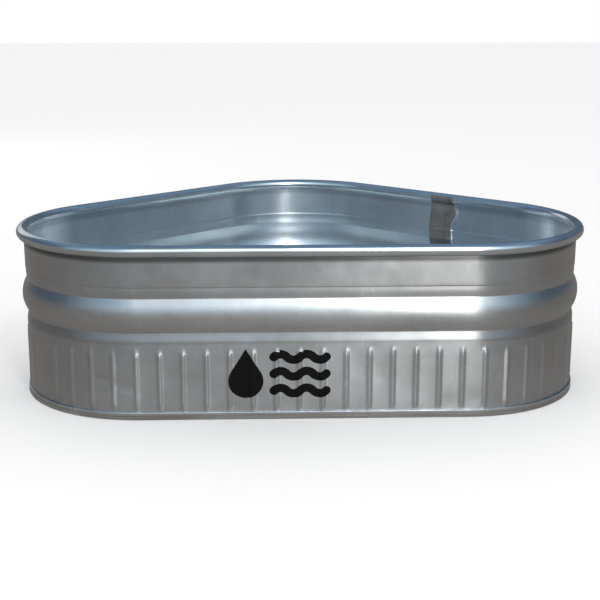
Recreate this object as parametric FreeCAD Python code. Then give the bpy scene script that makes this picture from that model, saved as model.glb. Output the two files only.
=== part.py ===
import FreeCAD, Part
import math
import os

# A galvanised sheet-steel stock tank with three round corners, seen in plan as a broad triangle.
# Millimetres, +Z up, the ground at z = 0, the long front wall facing -Y, the origin under the
# middle of the box around the tank.
#
# Sheet-metal outlines are drawn as (outward, height) pairs. Outward is measured from the outer
# face of the upright wall, so the wall's sheet lies between -SHEET and 0.

# Plan of the wall's outer face
WALL_WIDTH = 2000.0
CORNER_RADIUS = 430.0
LEG_ANGLE = 40.0            # degrees between the front wall and each back leg

# Heights
TANK_HEIGHT = 610.0         # a nominal 24 in tank
SHEET = 1.0                 # 20 gauge, galvanised
HALF_SHEET = SHEET / 2

# Rolled rim and the tube inside it (38.35 mm is the outside diameter of 1-1/4 in thin-wall tube)
RIM_TUBE_RADIUS = 19.17
RIM_TUBE_WALL = 1.65
RIM_TUBE_GAP = 0.13
ROLL_RADIUS = RIM_TUBE_RADIUS + RIM_TUBE_GAP + HALF_SHEET   # to the middle of the sheet
ROLL_CENTRE_OUT = 5.5
ROLL_CENTRE_HEIGHT = TANK_HEIGHT - ROLL_RADIUS - HALF_SHEET
ROLL_NECK_RADIUS = 4.0
ROLL_END_OUT = 1.2          # the roll's cut edge, tucked back under against the wall

# Swage beads in the upper wall: (outward, height, turn radius) of the sheet's middle
WALL_MIDDLE = -HALF_SHEET
UPPER_WALL_SHAPE = [
    (WALL_MIDDLE, 276.0, 40.0),
    (-6.2, 306.0, 8.0),
    (27.0, 365.5, 100.0),
    (-4.8, 425.0, 8.0),
    (-1.4, 446.0, 80.0),
    (-2.6, 463.0, 2.0),
    (WALL_MIDDLE, 466.0, 2.0),
]

# Upright ribs pressed outward all round the lower wall
RIB_COUNT = 67
RIB_WIDTH = 30.0
RIB_RISE = 4.0
RIB_BOTTOM = 30.0
RIB_TOP = 242.0
RIB_START = -18.1           # first rib's middle, along the wall from the middle of the front
RIB_RADIUS = (RIB_WIDTH ** 2 / 4 + RIB_RISE ** 2) / (2 * RIB_RISE)

# Double-lock seam that joins the sidewall to the bottom
SEAM_HEIGHT = 26.0
SEAM_GAP = 1.2              # room for sealant between the folded sheets
SEAM_BEND = 1.5
CHUCK_WALL_GAP = 0.1
HOOK_CLEARANCE = 3.0
COVER_HOOK_BOTTOM = 5.0
SEALANT_THICKNESS = 1.1
SEALANT_BEND = 1.0
SEALANT_TOP = 20.0

# Bottom sheet
PANEL_HEIGHT = 22.0         # middle of the sheet above the ground
PANEL_BEND = 3.0
PANEL_BEAD_FROM_WALL = 70.0
PANEL_BEAD_RISE = 5.0
PANEL_BEAD_RUN = 8.0
PANEL_BEAD_BEND = 6.0
PANEL_SWEPT_WIDTH = 90.0    # the strip along the wall that carries the bead

# Side seam: the ends of the sidewall's sheet lap on the right back leg, coated on the inside
SEAM_ALONG_LEG = 345.0      # from the leg's start at the front right corner
SEAM_STRIP_WIDTH = 100.0
SEAM_STRIP_THICKNESS = 0.8
SEAM_STRIP_GAP = 0.05
SEAM_STRIP_BOTTOM = 26.0
SEAM_STRIP_ROLL_END = 65.0  # degrees up the roll's inner side
LAP_WIDTH = 26.0
LAP_FROM_SEAM = -45.0       # middle of the lap from the middle of the coated strip
LAP_RAISE = 0.8
LAP_BOTTOM = 30.0
LAP_TOP = 560.0

# Printed emblem on the front wall
EMBLEM_MIDDLE_X = -87.0
EMBLEM_BOTTOM = 75.0
EMBLEM_WIDTH = 350.0
EMBLEM_FILM_INNER = 0.05
EMBLEM_FILM_OUTER = 0.25
DROP_RADIUS = 60.0
DROP_TIP = 114.0            # from the middle of the round part to the point
WAVE_LENGTH = 90.0
WAVE_RISE = 10.0
WAVE_THICKNESS = 30.0
WAVE_PITCH = 60.0
WAVE_ROWS = 3
WAVE_HALF_COUNT = 4

# Drain fitting at the middle of the back corner, low on the wall, its axis along +Y
DRAIN_HEIGHT = 72.0
DRAIN_CLEAR_WIDTH = 80.0    # no rib touches this width of wall
SHANK_RADIUS = 26.0
SHANK_LENGTH = 13.0         # beyond the wall's outer face
WALL_HOLE_RADIUS = 27.0
FLANGE_RADIUS = 35.0
FLANGE_THICKNESS = 4.0
GASKET_THICKNESS = 3.0
GASKET_INNER_RADIUS = 26.3
GASKET_OUTER_RADIUS = 34.0
CONTACT_GAP = 0.05
NUT_ACROSS_FLATS = 66.0
NUT_THICKNESS = 7.0
NUT_BORE_GAP = 0.06

# Screw plug, a right-hand thread of 11-1/2 turns per inch (the pitch of 1-1/4 in pipe)
THREAD_PITCH = 25.4 / 11.5
THREAD_ROOT_RADIUS = 19.5
THREAD_CREST_RADIUS = 20.7
THREAD_ROOT_WIDTH = 1.9
THREAD_CREST_WIDTH = 0.5
THREAD_CLEARANCE = 0.1
THREAD_TURNS = 7
PLUG_BORE_RADIUS = 16.0
PLUG_BORE_END = 13.0        # the plug's hollow stops at the flange
PLUG_WASHER_INNER = 21.5
PLUG_WASHER_OUTER = 25.0
PLUG_WASHER_THICKNESS = 2.0
PLUG_FLANGE_RADIUS = 26.0
PLUG_FLANGE_THICKNESS = 3.0
PLUG_HEAD_SIDE = 28.0
PLUG_HEAD_THICKNESS = 6.8
PLUG_HEAD_CHAMFER = 1.2

X_AXIS = FreeCAD.Vector(1, 0, 0)
Y_AXIS = FreeCAD.Vector(0, 1, 0)
Z_AXIS = FreeCAD.Vector(0, 0, 1)


def leg_normal_angle():
    """Direction, in degrees from +X, that the right back leg faces."""
    return 90.0 - LEG_ANGLE


def corner_centres():
    """Centres of the right, apex and left corner arcs, at ground level."""
    half_front = WALL_WIDTH / 2 - CORNER_RADIUS
    half_run = half_front * math.tan(math.radians(LEG_ANGLE)) / 2
    right = FreeCAD.Vector(half_front, -half_run, 0)
    apex = FreeCAD.Vector(0, half_run, 0)
    left = FreeCAD.Vector(-half_front, -half_run, 0)
    return right, apex, left


def outward_vector(angle):
    """Unit vector in plan at an angle in degrees from +X."""
    return FreeCAD.Vector(math.cos(math.radians(angle)), math.sin(math.radians(angle)), 0)


def wall_segments():
    """The wall's outer face in plan, anticlockwise from the middle of the front.

    Each entry is (kind, start point or arc centre, start angle, length or sweep angle).
    """
    right, apex, left = corner_centres()
    facing_right = leg_normal_angle()
    facing_left = 180.0 - facing_right
    half_front = right.x
    leg_length = (apex - right).Length
    front_middle = FreeCAD.Vector(0, right.y - CORNER_RADIUS, 0)
    front_left = FreeCAD.Vector(left.x, left.y - CORNER_RADIUS, 0)
    return [
        ("straight", front_middle, -90.0, half_front),
        ("arc", right, -90.0, facing_right + 90.0),
        ("straight", right + outward_vector(facing_right) * CORNER_RADIUS, facing_right, leg_length),
        ("arc", apex, facing_right, facing_left - facing_right),
        ("straight", apex + outward_vector(facing_left) * CORNER_RADIUS, facing_left, leg_length),
        ("arc", left, facing_left, 270.0 - facing_left),
        ("straight", front_left, 270.0, half_front),
    ]


def segment_length(segment):
    """Length of one wall segment along the outer face."""
    kind, _, _, extent = segment
    if kind == "straight":
        return extent
    return math.radians(extent) * CORNER_RADIUS


def wall_length():
    """Length once round the wall's outer face."""
    return sum(segment_length(segment) for segment in wall_segments())


def wall_station(distance):
    """Placement on the wall's outer face, local +X pointing outward, a distance along the wall."""
    remaining = distance % wall_length()
    for segment in wall_segments():
        kind, origin, angle, _ = segment
        if remaining > segment_length(segment):
            remaining -= segment_length(segment)
            continue
        if kind == "straight":
            point = origin + outward_vector(angle + 90.0) * remaining
            facing = angle
        else:
            facing = angle + math.degrees(remaining / CORNER_RADIUS)
            point = origin + outward_vector(facing) * CORNER_RADIUS
        return FreeCAD.Placement(point, FreeCAD.Rotation(Z_AXIS, facing))
    raise ValueError("no wall at this distance")


def profile_point(out, height):
    """A point of a sheet-metal outline, drawn in the XZ plane."""
    return FreeCAD.Vector(out, 0, height)


def rounded_edges(corners):
    """Edges of an open outline through (outward, height, turn radius) corners."""
    edges = []
    start = profile_point(*corners[0][:2])
    for index in range(1, len(corners) - 1):
        corner = profile_point(*corners[index][:2])
        back = (profile_point(*corners[index - 1][:2]) - corner).normalize()
        ahead = (profile_point(*corners[index + 1][:2]) - corner).normalize()
        half_opening = back.getAngle(ahead) / 2
        radius = corners[index][2]
        reach = radius / math.tan(half_opening)
        inward = (back + ahead).normalize()
        middle = corner + inward * (radius / math.sin(half_opening) - radius)
        edges.append(Part.makeLine(start, corner + back * reach))
        edges.append(Part.Arc(corner + back * reach, middle, corner + ahead * reach).toShape())
        start = corner + ahead * reach
    edges.append(Part.makeLine(start, profile_point(*corners[-1][:2])))
    return edges


def thickened(wire, thickness):
    """A face made by giving an open outline a thickness, with rounded ends."""
    outline = wire.makeOffset2D(thickness / 2, join=0, fill=False, openResult=False)
    return Part.Face(outline)


def sweep_segment(profile, segment):
    """One stretch of wall section, swept along a straight or round a corner."""
    kind, origin, angle, extent = segment
    section = profile.copy()
    section.rotate(FreeCAD.Vector(0, 0, 0), Z_AXIS, angle)
    if kind == "straight":
        section.translate(origin)
        return section.extrude(outward_vector(angle + 90.0) * extent)
    section.translate(origin + outward_vector(angle) * CORNER_RADIUS)
    return section.revolve(origin, Z_AXIS, extent)


def sweep_round(profile):
    """A section swept all the way round the tank as one solid."""
    pieces = [sweep_segment(profile, segment) for segment in wall_segments()]
    return pieces[0].multiFuse(pieces[1:]).removeSplitter()


def sweep_along(profile, middle, width):
    """A section swept along a straight wall, a width centred on a distance along the wall."""
    station = wall_station(middle)
    section = profile.copy()
    section.translate(FreeCAD.Vector(0, -width / 2, 0))
    ribbon = section.extrude(FreeCAD.Vector(0, width, 0))
    ribbon.Placement = station
    return ribbon


def seam_distance():
    """Distance along the wall of the side seam's middle."""
    segments = wall_segments()
    return segment_length(segments[0]) + segment_length(segments[1]) + SEAM_ALONG_LEG


# ---------------------------------------------------------------- sidewall


def seam_layer(number):
    """Outward place of a folded sheet's middle in the base seam, counted out from the sidewall."""
    return WALL_MIDDLE + number * (SHEET + SEAM_GAP)


def roll_neck():
    """Height where the neck arc leaves the wall, and the neck arc's centre."""
    neck_out = WALL_MIDDLE - ROLL_NECK_RADIUS
    reach = ROLL_RADIUS + ROLL_NECK_RADIUS
    drop = math.sqrt(reach ** 2 - (ROLL_CENTRE_OUT - neck_out) ** 2)
    return ROLL_CENTRE_HEIGHT - drop, profile_point(neck_out, ROLL_CENTRE_HEIGHT - drop)


def roll_point(angle, radius=ROLL_RADIUS):
    """A point of the rim roll at an angle in degrees, 0 outward and 90 up."""
    turn = math.radians(angle)
    return profile_point(
        ROLL_CENTRE_OUT + radius * math.cos(turn),
        ROLL_CENTRE_HEIGHT + radius * math.sin(turn),
    )


def roll_edges(end_angle):
    """The neck arc and the roll from the neck over to an end angle, as edges."""
    _, neck_centre = roll_neck()
    roll_centre = profile_point(ROLL_CENTRE_OUT, ROLL_CENTRE_HEIGHT)
    to_roll = (roll_centre - neck_centre).normalize()
    neck_end = neck_centre + to_roll * ROLL_NECK_RADIUS
    neck_middle = neck_centre + (to_roll + X_AXIS).normalize() * ROLL_NECK_RADIUS
    neck_start = neck_centre + X_AXIS * ROLL_NECK_RADIUS
    start_angle = math.degrees(math.atan2(-to_roll.z, -to_roll.x)) % 360.0
    middle_angle = (start_angle + end_angle) / 2
    return [
        Part.Arc(neck_start, neck_middle, neck_end).toShape(),
        Part.Arc(neck_end, roll_point(middle_angle), roll_point(end_angle)).toShape(),
    ]


def wall_corners(bottom_corners):
    """The sheet's middle from the bottom corners given up to the rim's neck."""
    neck_height, _ = roll_neck()
    return bottom_corners + UPPER_WALL_SHAPE + [(WALL_MIDDLE, neck_height, 0.0)]


def sidewall_outline():
    """The sidewall's sheet from its hook in the base seam to the end of the rim roll."""
    hook_out = seam_layer(2)
    hook_bottom = SHEET + CHUCK_WALL_GAP + HALF_SHEET
    hook = [
        (hook_out, SEAM_HEIGHT - SHEET - HOOK_CLEARANCE, 0.0),
        (hook_out, hook_bottom, SEAM_BEND),
        (WALL_MIDDLE, hook_bottom, SEAM_BEND),
    ]
    end_angle = -90.0 - math.degrees(math.asin((ROLL_CENTRE_OUT - ROLL_END_OUT) / ROLL_RADIUS))
    return Part.Wire(rounded_edges(wall_corners(hook)) + roll_edges(end_angle))


def rib_distances():
    """Middles of the ribs along the wall, leaving the side seam and the drain clear."""
    pitch = wall_length() / RIB_COUNT
    keep_out = [
        (seam_distance(), SEAM_STRIP_WIDTH),
        (wall_length() / 2, DRAIN_CLEAR_WIDTH),
    ]
    distances = []
    for number in range(RIB_COUNT):
        distance = RIB_START + number * pitch
        if all(abs(distance - middle) > (width + RIB_WIDTH) / 2 for middle, width in keep_out):
            distances.append(distance)
    return distances


def rib_capsule(distance, allowance):
    """A round-ended bar whose outer side is a rib's face, grown by an allowance."""
    radius = RIB_RADIUS + allowance
    end_reach = math.sqrt(RIB_RADIUS ** 2 - (RIB_RADIUS - RIB_RISE) ** 2)
    low = RIB_BOTTOM + end_reach
    high = RIB_TOP - end_reach
    middle = FreeCAD.Vector(RIB_RISE - RIB_RADIUS, 0, 0)
    bar = Part.makeCylinder(radius, high - low, middle + Z_AXIS * low, Z_AXIS)
    ends = [Part.makeSphere(radius, middle + Z_AXIS * height) for height in (low, high)]
    capsule = bar.multiFuse(ends).removeSplitter()
    capsule.Placement = wall_station(distance)
    return capsule


def rib_skin(distance):
    """One pressed rib: the skin of the capsule that stands outside the middle of the wall's sheet."""
    skin = rib_capsule(distance, 0.0).cut(rib_capsule(distance, -SHEET))
    depth = RIB_RISE + SHEET
    side = 2 * RIB_RADIUS
    outside = Part.makeBox(depth, side, TANK_HEIGHT, FreeCAD.Vector(-HALF_SHEET, -side / 2, 0))
    outside.Placement = wall_station(distance)
    return skin.common(outside)


def side_lap():
    """The lapped end of the sidewall's sheet, raised on the outer face at the side seam."""
    corners = wall_corners([(WALL_MIDDLE, LAP_BOTTOM, 0.0)])[:-1] + [(WALL_MIDDLE, LAP_TOP, 0.0)]
    raised = Part.Wire(rounded_edges(corners)).makeOffset2D(-LAP_RAISE, join=0, openResult=True)
    return sweep_along(thickened(raised, SHEET), seam_distance() + LAP_FROM_SEAM, LAP_WIDTH)


def make_sidewall():
    """One long sheet: base hook, pressed ribs, swage beads, rolled rim, side lap, drain hole."""
    wall = sweep_round(thickened(sidewall_outline(), SHEET))
    distances = rib_distances()
    hollows = [rib_capsule(distance, -SHEET) for distance in distances]
    wall = wall.cut(hollows)
    wall = wall.multiFuse([rib_skin(distance) for distance in distances] + [side_lap()])
    hole = drain_cylinder(WALL_HOLE_RADIUS, -2 * GASKET_THICKNESS, GASKET_THICKNESS)
    return wall.cut(hole)


# ---------------------------------------------------------------- bottom and base seam


def bottom_corners():
    """The bottom sheet's middle from its hook in the seam, under the seam and in to the panel."""
    chuck_wall = -SHEET - CHUCK_WALL_GAP - HALF_SHEET
    ground = HALF_SHEET
    lip = SEAM_HEIGHT - HALF_SHEET
    bead_top = PANEL_HEIGHT + PANEL_BEAD_RISE
    return [
        (seam_layer(1), COVER_HOOK_BOTTOM, 0.0),
        (seam_layer(1), lip, SEAM_BEND),
        (seam_layer(3), lip, SEAM_BEND),
        (seam_layer(3), ground, SEAM_BEND),
        (chuck_wall, ground, SEAM_BEND),
        (chuck_wall, PANEL_HEIGHT, PANEL_BEND),
        (-PANEL_BEAD_FROM_WALL + PANEL_BEAD_RUN, PANEL_HEIGHT, PANEL_BEAD_BEND),
        (-PANEL_BEAD_FROM_WALL, bead_top, PANEL_BEAD_BEND),
        (-PANEL_BEAD_FROM_WALL - PANEL_BEAD_RUN, PANEL_HEIGHT, PANEL_BEAD_BEND),
        (-PANEL_SWEPT_WIDTH, PANEL_HEIGHT, 0.0),
    ]


def plan_face(inset):
    """The plan of the tank, drawn in from the wall's outer face by an inset, at ground level."""
    radius = CORNER_RADIUS - inset
    edges = []
    for kind, origin, angle, extent in wall_segments():
        if kind == "straight":
            start = origin - outward_vector(angle) * inset
            edges.append(Part.makeLine(start, start + outward_vector(angle + 90.0) * extent))
        else:
            points = [origin + outward_vector(angle + extent * part) * radius for part in (0, 0.5, 1)]
            edges.append(Part.Arc(*points).toShape())
    return Part.Face(Part.Wire(edges))


def make_bottom_pan():
    """The bottom sheet: flat panel, stiffening bead, chuck wall and the folded seam."""
    rim = thickened(Part.Wire(rounded_edges(bottom_corners())), SHEET)
    panel = plan_face(PANEL_SWEPT_WIDTH)
    panel.translate(Z_AXIS * (PANEL_HEIGHT - HALF_SHEET))
    return sweep_round(rim).fuse(panel.extrude(Z_AXIS * SHEET)).removeSplitter()


def make_base_seam_sealant():
    """The bead of sealant folded into the base seam, round the end of the bottom's hook."""
    beside_wall = SEAM_GAP / 2
    beside_hook = seam_layer(2) - HALF_SHEET - SEAM_GAP / 2
    bottom = 2 * SHEET + CHUCK_WALL_GAP + SEAM_GAP / 2
    corners = [
        (beside_wall, SEALANT_TOP, 0.0),
        (beside_wall, bottom, SEALANT_BEND),
        (beside_hook, bottom, SEALANT_BEND),
        (beside_hook, SEALANT_TOP, 0.0),
    ]
    return sweep_round(thickened(Part.Wire(rounded_edges(corners)), SEALANT_THICKNESS))


# ---------------------------------------------------------------- rim tube, seam strip, emblem


def make_rim_tube():
    """The steel tube that the rim is rolled round."""
    centre = profile_point(ROLL_CENTRE_OUT, ROLL_CENTRE_HEIGHT)
    circles = [
        Part.Wire(Part.makeCircle(radius, centre, Y_AXIS))
        for radius in (RIM_TUBE_RADIUS, RIM_TUBE_RADIUS - RIM_TUBE_WALL)
    ]
    ring = Part.Face(circles[0]).cut(Part.Face(circles[1])).Faces[0]
    return sweep_round(ring)


def make_side_seam_strip():
    """The sealing strip on the inside of the side seam, from the bottom up over the rim roll."""
    edges = rounded_edges(wall_corners([(WALL_MIDDLE, SEAM_STRIP_BOTTOM, 0.0)]))
    wall_line = Part.Wire(edges + roll_edges(180.0 - SEAM_STRIP_ROLL_END))
    offset = HALF_SHEET + SEAM_STRIP_GAP + SEAM_STRIP_THICKNESS / 2
    strip_line = wall_line.makeOffset2D(offset, join=0, openResult=True)
    section = thickened(strip_line, SEAM_STRIP_THICKNESS)
    return sweep_along(section, seam_distance(), SEAM_STRIP_WIDTH)


def front_film_block(level):
    """Everything behind the ribbed front wall's outer face, out to a level above the sheet."""
    front = wall_segments()[0][1].y
    low = front - level
    block = Part.makeBox(
        2 * EMBLEM_WIDTH,
        RIB_RADIUS,
        TANK_HEIGHT / 2,
        FreeCAD.Vector(EMBLEM_MIDDLE_X - EMBLEM_WIDTH, low, RIB_BOTTOM),
    )
    half_front = segment_length(wall_segments()[0])
    total = wall_length()
    near = []
    for distance in rib_distances():
        along_front = distance if distance < total / 2 else distance - total
        if abs(along_front) < half_front and abs(along_front - EMBLEM_MIDDLE_X) < EMBLEM_WIDTH:
            near.append(rib_capsule(distance, level))
    return block.multiFuse(near)


def drop_face():
    """A water drop standing on its round end, its round part centred on the origin of XZ."""
    lean = math.acos(DROP_RADIUS / DROP_TIP)
    touch_out = DROP_RADIUS * math.sin(lean)
    touch_up = DROP_RADIUS * math.cos(lean)
    right = profile_point(touch_out, touch_up)
    left = profile_point(-touch_out, touch_up)
    tip = profile_point(0, DROP_TIP)
    round_end = Part.Arc(right, profile_point(0, -DROP_RADIUS), left).toShape()
    return Part.Face(Part.Wire([round_end, Part.makeLine(left, tip), Part.makeLine(tip, right)]))


def wave_face(start_out, height):
    """One wavy bar made of alternating arcs."""
    step = WAVE_LENGTH / 2
    arcs = []
    for number in range(WAVE_HALF_COUNT):
        low = start_out + number * step
        rise = WAVE_RISE if number % 2 == 0 else -WAVE_RISE
        points = [
            profile_point(low, height),
            profile_point(low + step / 2, height + rise),
            profile_point(low + step, height),
        ]
        arcs.append(Part.Arc(*points).toShape())
    return thickened(Part.Wire(arcs), WAVE_THICKNESS)


def make_emblem_print():
    """The printed emblem, a plain water drop beside wavy bars, as a film on the ribbed wall."""
    left = EMBLEM_MIDDLE_X - EMBLEM_WIDTH / 2
    drop = drop_face()
    drop.translate(FreeCAD.Vector(left + DROP_RADIUS, 0, EMBLEM_BOTTOM + DROP_RADIUS))
    waves_left = left + EMBLEM_WIDTH - WAVE_LENGTH / 2 * WAVE_HALF_COUNT - WAVE_THICKNESS / 2
    waves_low = EMBLEM_BOTTOM + WAVE_THICKNESS / 2 + WAVE_RISE
    waves = [wave_face(waves_left, waves_low + row * WAVE_PITCH) for row in range(WAVE_ROWS)]
    film = front_film_block(EMBLEM_FILM_OUTER).cut(front_film_block(EMBLEM_FILM_INNER))
    front = wall_segments()[0][1].y
    reach = 2 * RIB_RISE
    printed = []
    for face in [drop] + waves:
        face.translate(Y_AXIS * (front - reach))
        printed += film.common(face.extrude(Y_AXIS * reach * 2)).Solids
    return Part.makeCompound(printed)


# ---------------------------------------------------------------- drain


def drain_point(out):
    """A point on the drain's axis, outward from the wall's outer face."""
    back = wall_station(wall_length() / 2).Base.y
    return FreeCAD.Vector(0, back + out, DRAIN_HEIGHT)


def drain_cylinder(radius, start, end):
    """A cylinder on the drain's axis between two outward places."""
    return Part.makeCylinder(radius, end - start, drain_point(start), Y_AXIS)


def drain_prism(across_flats, sides, start, end):
    """A bar with flats on the drain's axis, two of its corners or flats level."""
    radius = across_flats / 2 / math.cos(math.pi / sides)
    centre = drain_point(start)
    corners = []
    for number in range(sides + 1):
        turn = 2 * math.pi * (number + 0.5) / sides
        corners.append(centre + X_AXIS * radius * math.cos(turn) + Z_AXIS * radius * math.sin(turn))
    return Part.Face(Part.makePolygon(corners)).extrude(Y_AXIS * (end - start))


def corner_cylinder(radius):
    """An upright cylinder about the back corner's centre, as tall as the drain needs."""
    _, apex, _ = corner_centres()
    return Part.makeCylinder(radius, 2 * DRAIN_HEIGHT, apex)


def thread_ridge(start, turns, allowance):
    """A helical thread on the drain's axis, grown all round by an allowance."""
    root = THREAD_ROOT_RADIUS - THREAD_CLEARANCE * 2
    crest = THREAD_CREST_RADIUS + allowance
    half_root = THREAD_ROOT_WIDTH / 2 + allowance
    half_crest = THREAD_CREST_WIDTH / 2 + allowance
    corners = [
        profile_point(root, -half_root),
        profile_point(crest, -half_crest),
        profile_point(crest, half_crest),
        profile_point(root, half_root),
        profile_point(root, -half_root),
    ]
    helix = Part.makeHelix(THREAD_PITCH, THREAD_PITCH * turns, THREAD_ROOT_RADIUS)
    ridge = helix.makePipeShell([Part.makePolygon(corners)], True, True)
    ridge.rotate(FreeCAD.Vector(0, 0, 0), X_AXIS, -90.0)
    ridge.translate(drain_point(start))
    return ridge


def make_drain_body():
    """The flanged fitting: flange inside the tank, shank out through the wall, threaded bore."""
    flange_start = -SHEET - GASKET_THICKNESS - FLANGE_THICKNESS
    flange = drain_cylinder(FLANGE_RADIUS, flange_start, flange_start + FLANGE_THICKNESS)
    shank = drain_cylinder(SHANK_RADIUS, flange_start, SHANK_LENGTH)
    bore = drain_cylinder(THREAD_ROOT_RADIUS + THREAD_CLEARANCE, flange_start, SHANK_LENGTH)
    thread_length = (THREAD_TURNS + 2) * THREAD_PITCH
    groove = thread_ridge(SHANK_LENGTH - thread_length, THREAD_TURNS + 4, THREAD_CLEARANCE)
    return flange.fuse(shank).cut(bore).cut(groove)


def make_drain_inner_gasket():
    """The rubber ring between the flange and the wall's inner face, curved to the wall."""
    start = -SHEET - GASKET_THICKNESS + CONTACT_GAP
    ring = drain_cylinder(GASKET_OUTER_RADIUS, start, 0).cut(drain_cylinder(GASKET_INNER_RADIUS, start, 0))
    return ring.common(corner_cylinder(CORNER_RADIUS - SHEET - CONTACT_GAP))


def make_drain_outer_gasket():
    """The rubber ring between the nut and the wall's outer face, curved to the wall."""
    start = -GASKET_THICKNESS
    ring = drain_cylinder(GASKET_OUTER_RADIUS, start, GASKET_THICKNESS)
    ring = ring.cut(drain_cylinder(GASKET_INNER_RADIUS, start, GASKET_THICKNESS))
    return ring.cut(corner_cylinder(CORNER_RADIUS + CONTACT_GAP))


def make_drain_nut():
    """The hexagon nut that clamps the fitting to the wall."""
    start = GASKET_THICKNESS + CONTACT_GAP
    end = start + NUT_THICKNESS
    bore = drain_cylinder(SHANK_RADIUS + NUT_BORE_GAP, start, end)
    return drain_prism(NUT_ACROSS_FLATS, 6, start, end).cut(bore)


def make_plug_washer():
    """The soft washer under the plug's flange."""
    start = SHANK_LENGTH + CONTACT_GAP
    end = start + PLUG_WASHER_THICKNESS
    return drain_cylinder(PLUG_WASHER_OUTER, start, end).cut(drain_cylinder(PLUG_WASHER_INNER, start, end))


def make_drain_plug():
    """The screw plug: threaded barrel, flange and square head."""
    flange_start = SHANK_LENGTH + PLUG_WASHER_THICKNESS + 2 * CONTACT_GAP
    flange_end = flange_start + PLUG_FLANGE_THICKNESS
    barrel_start = SHANK_LENGTH - THREAD_TURNS * THREAD_PITCH
    barrel = drain_cylinder(THREAD_ROOT_RADIUS, barrel_start, flange_start)
    ridge = thread_ridge(barrel_start + THREAD_PITCH, THREAD_TURNS - 1, 0.0)
    flange = drain_cylinder(PLUG_FLANGE_RADIUS, flange_start, flange_end)
    head = drain_prism(PLUG_HEAD_SIDE, 4, flange_end, flange_end + PLUG_HEAD_THICKNESS)
    outer_edges = [edge for edge in head.Edges if edge.BoundBox.YMin > flange_end + HALF_SHEET]
    head = head.makeChamfer(PLUG_HEAD_CHAMFER, outer_edges)
    hollow = drain_cylinder(PLUG_BORE_RADIUS, barrel_start, PLUG_BORE_END)
    return barrel.fuse(ridge).fuse(flange).fuse(head).cut(hollow)


MAKERS = {
    "sidewall": make_sidewall,
    "bottom_pan": make_bottom_pan,
    "rim_tube": make_rim_tube,
    "base_seam_sealant": make_base_seam_sealant,
    "side_seam_strip": make_side_seam_strip,
    "emblem_print": make_emblem_print,
    "drain_body": make_drain_body,
    "drain_inner_gasket": make_drain_inner_gasket,
    "drain_outer_gasket": make_drain_outer_gasket,
    "drain_nut": make_drain_nut,
    "plug_washer": make_plug_washer,
    "drain_plug": make_drain_plug,
}


def main():
    os.makedirs("parts", exist_ok=True)
    for name, make in MAKERS.items():
        make().exportStep(os.path.join("parts", name + ".step"))


main()
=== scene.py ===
"""Looks of a galvanised corner stock tank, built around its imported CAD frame. Metres, +Z up."""

import math

import bmesh
import bpy
import numpy as np
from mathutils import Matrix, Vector


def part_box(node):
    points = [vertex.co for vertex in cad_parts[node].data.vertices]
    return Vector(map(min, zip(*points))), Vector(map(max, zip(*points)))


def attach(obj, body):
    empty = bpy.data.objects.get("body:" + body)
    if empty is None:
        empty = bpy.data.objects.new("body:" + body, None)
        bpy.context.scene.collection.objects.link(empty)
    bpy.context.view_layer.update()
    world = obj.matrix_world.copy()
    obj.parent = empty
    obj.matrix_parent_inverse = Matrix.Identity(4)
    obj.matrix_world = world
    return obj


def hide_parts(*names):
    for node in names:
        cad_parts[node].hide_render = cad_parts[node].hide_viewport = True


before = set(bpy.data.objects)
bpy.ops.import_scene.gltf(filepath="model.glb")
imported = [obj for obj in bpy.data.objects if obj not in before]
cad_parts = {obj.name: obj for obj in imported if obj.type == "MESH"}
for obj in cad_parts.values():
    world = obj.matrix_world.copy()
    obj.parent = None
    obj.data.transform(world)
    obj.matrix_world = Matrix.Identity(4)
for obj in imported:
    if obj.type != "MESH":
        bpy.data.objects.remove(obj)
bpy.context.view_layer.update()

MM = 0.001
TAU = 2 * math.pi

# ---------------------------------------------------------------- sizes shared with the frame

CORNER_RADIUS = 430 * MM
LEG_ANGLE = math.radians(40)
HALF_SHEET = 0.5 * MM
WALL_MIDDLE = -HALF_SHEET

ROLL_RADIUS = 19.8 * MM
ROLL_CENTRE_OUT = 5.5 * MM
ROLL_NECK_RADIUS = 4 * MM
ROLL_END_OUT = 1.2 * MM

SIDEWALL_LOW, SIDEWALL_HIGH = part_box("sidewall")
TANK_HEIGHT = SIDEWALL_HIGH.z
RIM_OVERHANG = ROLL_CENTRE_OUT + ROLL_RADIUS + HALF_SHEET
HALF_FRONT = SIDEWALL_HIGH.x - RIM_OVERHANG - CORNER_RADIUS
FRONT_Y = SIDEWALL_LOW.y + RIM_OVERHANG
BACK_Y = SIDEWALL_HIGH.y - RIM_OVERHANG
ROLL_CENTRE_HEIGHT = TANK_HEIGHT - ROLL_RADIUS - HALF_SHEET
ROLL_BOTTOM = TANK_HEIGHT - 2 * ROLL_RADIUS

HOOK_OUT = 3.9 * MM
HOOK_BOTTOM = 1.6 * MM
HOOK_TOP = 22 * MM
HOOK_BEND = 1.5 * MM
BASE_SEAM_TOP = 26 * MM

# (outward, height, turn radius) of the sheet's middle, as in the frame
UPPER_WALL_SHAPE = [
    (WALL_MIDDLE, 276 * MM, 40 * MM),
    (-6.2 * MM, 306 * MM, 8 * MM),
    (27 * MM, 365.5 * MM, 100 * MM),
    (-4.8 * MM, 425 * MM, 8 * MM),
    (-1.4 * MM, 446 * MM, 80 * MM),
    (-2.6 * MM, 463 * MM, 2 * MM),
    (WALL_MIDDLE, 466 * MM, 2 * MM),
]

RIB_COUNT = 67
RIB_WIDTH = 30 * MM
RIB_RISE = 4 * MM
RIB_BOTTOM = 30 * MM
RIB_TOP = 242 * MM
RIB_START = -18.1 * MM

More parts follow.
